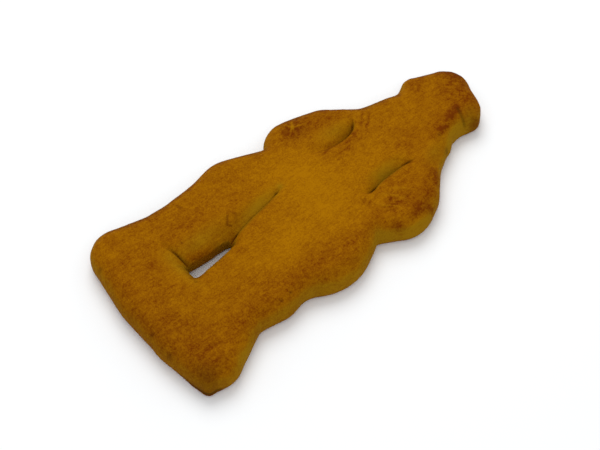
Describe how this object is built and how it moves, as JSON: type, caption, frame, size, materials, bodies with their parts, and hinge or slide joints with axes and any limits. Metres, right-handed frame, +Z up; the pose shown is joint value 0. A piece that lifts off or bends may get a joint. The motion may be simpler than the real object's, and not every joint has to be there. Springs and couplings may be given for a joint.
{
  "type": "gingerbread man cookie",
  "caption": "Plain baked dough man lying face up: a flat, puffed figure with elbows out, a slit inside each arm, a hole between the shins and both feet in one wide base.",
  "frame": {"origin": "centre of the figure's box on the surface that it lies on", "axes": "+Z up out of the browned top, +Y from the feet towards the head, +X towards the figure's right-hand edge as seen from above with the head up"},
  "size_m": [0.077, 0.17, 0.0113],
  "materials": {
    "baked_crust": "matt golden-brown baked crust, paler and yellower on the sides and inside the creases, darker where it browned"
  },
  "bodies": {
    "root": {"dough_man": "baked_crust"}
  },
  "joints": []
}
